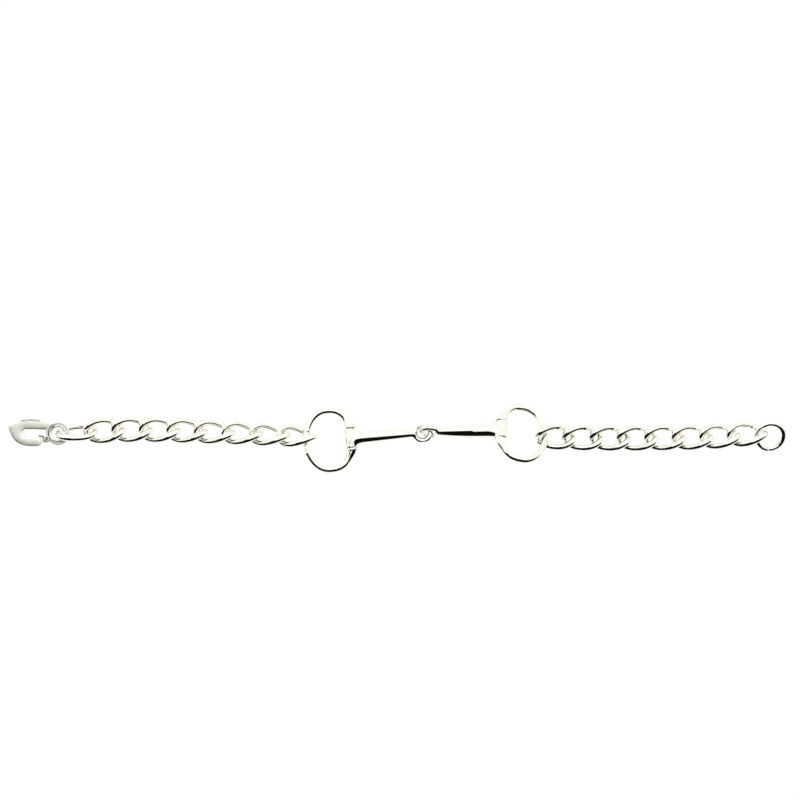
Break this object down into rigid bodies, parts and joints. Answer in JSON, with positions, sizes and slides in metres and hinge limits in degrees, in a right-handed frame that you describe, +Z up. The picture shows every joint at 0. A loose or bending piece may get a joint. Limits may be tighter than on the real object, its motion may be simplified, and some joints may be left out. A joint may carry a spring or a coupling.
{
  "type": "snaffle bit chain bracelet",
  "caption": "Bracelet-size jointed snaffle bit with two oval cheek rings, set between two runs of curb chain that close with a lobster clasp and a jump ring.",
  "frame": {"origin": "centre of the bounding box in X and Y, on the surface that the bracelet lies on", "axes": "+X along the bracelet from the clasp to the jump ring, +Y across it, +Z up from the surface that it lies on"},
  "size_m": [0.1892, 0.017, 0.0096],
  "materials": {
    "polished_silver": "mirror-polished silver-coloured metal",
    "satin_clasp": "cast clasp, satin with a soft sheen",
    "spring_steel": "plain steel lever, pin and spring"
  },
  "bodies": {
    "left_mouthpiece": {"left_mouthpiece": "polished_silver"},
    "left_cheek_ring": {"left_cheek_ring": "polished_silver"},
    "right_mouthpiece": {"right_mouthpiece": "polished_silver"},
    "right_cheek_ring": {"right_cheek_ring": "polished_silver"},
    "clasp": {"clasp_body": "satin_clasp", "clasp_lever_pin": "spring_steel", "clasp_lever_spring": "spring_steel"},
    "clasp_lever": {"clasp_lever": "spring_steel"},
    "end_jump_ring": {"end_jump_ring": "polished_silver"},
    "left_link_1": {"left_link_1": "polished_silver"},
    "left_link_2": {"left_link_2": "polished_silver"},
    "left_link_3": {"left_link_3": "polished_silver"},
    "left_link_4": {"left_link_4": "polished_silver"},
    "left_link_5": {"left_link_5": "polished_silver"},
    "left_link_6": {"left_link_6": "polished_silver"},
    "left_link_7": {"left_link_7": "polished_silver"},
    "left_link_8": {"left_link_8": "polished_silver"},
    "left_link_9": {"left_link_9": "polished_silver"},
    "right_link_1": {"right_link_1": "polished_silver"},
    "right_link_2": {"right_link_2": "polished_silver"},
    "right_link_3": {"right_link_3": "polished_silver"},
    "right_link_4": {"right_link_4": "polished_silver"},
    "right_link_5": {"right_link_5": "polished_silver"},
    "right_link_6": {"right_link_6": "polished_silver"},
    "right_link_7": {"right_link_7": "polished_silver"},
    "right_link_8": {"right_link_8": "polished_silver"}
  },
  "joints": [
    {"name": "left_cheek_ring_swing", "type": "hinge", "parent": "left_mouthpiece", "child": "left_cheek_ring", "pos_m": [-0.01146, 0, 0.00311], "axis": [-0.0765, 0.9946, -0.0698], "range_deg": [-120, 120]},
    {"name": "left_link_9_bend", "type": "hinge", "parent": "left_cheek_ring", "child": "left_link_9", "pos_m": [-0.02223, -0.00083, 0.00311], "axis": [-0.0538, -0.9986, 0], "range_deg": [-30, 30]},
    {"name": "left_link_8_bend", "type": "hinge", "parent": "left_link_9", "child": "left_link_8", "pos_m": [-0.02773, 0.00072, 0.00302], "axis": [-0.0556, -0.9985, 0], "range_deg": [-18, 18]},
    {"name": "left_link_7_bend", "type": "hinge", "parent": "left_link_8", "child": "left_link_7", "pos_m": [-0.03444, 0.00109, 0.00291], "axis": [-0.0507, -0.9987, 0], "range_deg": [-18, 18]},
    {"name": "left_link_6_bend", "type": "hinge", "parent": "left_link_7", "child": "left_link_6", "pos_m": [-0.04115, 0.00142, 0.00281], "axis": [-0.0391, -0.9992, 0], "range_deg": [-18, 18]},
    {"name": "left_link_5_bend", "type": "hinge", "parent": "left_link_6", "child": "left_link_5", "pos_m": [-0.04786, 0.00171, 0.0027], "axis": [-0.0392, -0.9992, 0], "range_deg": [-18, 18]},
    {"name": "left_link_4_bend", "type": "hinge", "parent": "left_link_5", "child": "left_link_4", "pos_m": [-0.05457, 0.00196, 0.00259], "axis": [-0.0239, -0.9997, 0], "range_deg": [-18, 18]},
    {"name": "left_link_3_bend", "type": "hinge", "parent": "left_link_4", "child": "left_link_3", "pos_m": [-0.06129, 0.0021, 0.00252], "axis": [0.0092, -1, 0], "range_deg": [-18, 18]},
    {"name": "left_link_2_bend", "type": "hinge", "parent": "left_link_3", "child": "left_link_2", "pos_m": [-0.06801, 0.00202, 0.00257], "axis": [0.0528, -0.9986, 0], "range_deg": [-18, 18]},
    {"name": "left_link_1_bend", "type": "hinge", "parent": "left_link_2", "child": "left_link_1", "pos_m": [-0.07472, 0.00169, 0.00274], "axis": [0.0678, -0.9977, 0], "range_deg": [-18, 18]},
    {"name": "clasp_swing", "type": "hinge", "parent": "left_link_1", "child": "clasp", "pos_m": [-0.08119, 0.00119, 0.00332], "axis": [0, -1, 0], "range_deg": [-20, 20]},
    {"name": "clasp_lever_press", "type": "hinge", "parent": "clasp", "child": "clasp_lever", "pos_m": [-0.08511, -0.00011, 0.00272], "axis": [0, 0, -1], "range_deg": [0, 22], "stiffness_Nm_per_rad": 0.004, "springref_deg": -11.46},
    {"name": "mouthpiece_joint", "type": "hinge", "parent": "left_mouthpiece", "child": "right_mouthpiece", "pos_m": [0.00788, 0.00153, 0.00318], "axis": [0.058, 0.8841, -0.4637], "range_deg": [-130, 130]},
    {"name": "right_cheek_ring_swing", "type": "hinge", "parent": "right_mouthpiece", "child": "right_cheek_ring", "pos_m": [0.02516, 0.00187, 0.00601], "axis": [-0.058, -0.8841, 0.4637], "range_deg": [-120, 120]},
    {"name": "right_link_1_bend", "type": "hinge", "parent": "right_cheek_ring", "child": "right_link_1", "pos_m": [0.03569, 0.00024, 0.00421], "axis": [0.0335, 0.9994, 0], "range_deg": [-30, 30]},
    {"name": "right_link_2_bend", "type": "hinge", "parent": "right_link_1", "child": "right_link_2", "pos_m": [0.04147, 0.00026, 0.0035], "axis": [0.0154, 0.9999, 0], "range_deg": [-18, 18]},
    {"name": "right_link_3_bend", "type": "hinge", "parent": "right_link_2", "child": "right_link_3", "pos_m": [0.04816, 0.00013, 0.00293], "axis": [0.0046, 1, 0], "range_deg": [-18, 18]},
    {"name": "right_link_4_bend", "type": "hinge", "parent": "right_link_3", "child": "right_link_4", "pos_m": [0.05487, 0.0001, 0.00259], "axis": [-0.005, 1, 0], "range_deg": [-18, 18]},
    {"name": "right_link_5_bend", "type": "hinge", "parent": "right_link_4", "child": "right_link_5", "pos_m": [0.06159, 0.00013, 0.00244], "axis": [-0.0114, 0.9999, 0], "range_deg": [-18, 18]},
    {"name": "right_link_6_bend", "type": "hinge", "parent": "right_link_5", "child": "right_link_6", "pos_m": [0.06831, 0.00022, 0.00251], "axis": [-0.027, 0.9996, 0], "range_deg": [-18, 18]},
    {"name": "right_link_7_bend", "type": "hinge", "parent": "right_link_6", "child": "right_link_7", "pos_m": [0.07502, 0.00042, 0.00266], "axis": [-0.0623, 0.9981, 0], "range_deg": [-18, 18]},
    {"name": "right_link_8_bend", "type": "hinge", "parent": "right_link_7", "child": "right_link_8", "pos_m": [0.08173, 0.00083, 0.00275], "axis": [-0.0877, 0.9961, 0], "range_deg": [-18, 18]},
    {"name": "end_jump_ring_swing", "type": "hinge", "parent": "right_link_8", "child": "end_jump_ring", "pos_m": [0.08851, 0.00139, 0.0028], "axis": [0, 1, 0], "range_deg": [-30, 30]}
  ]
}
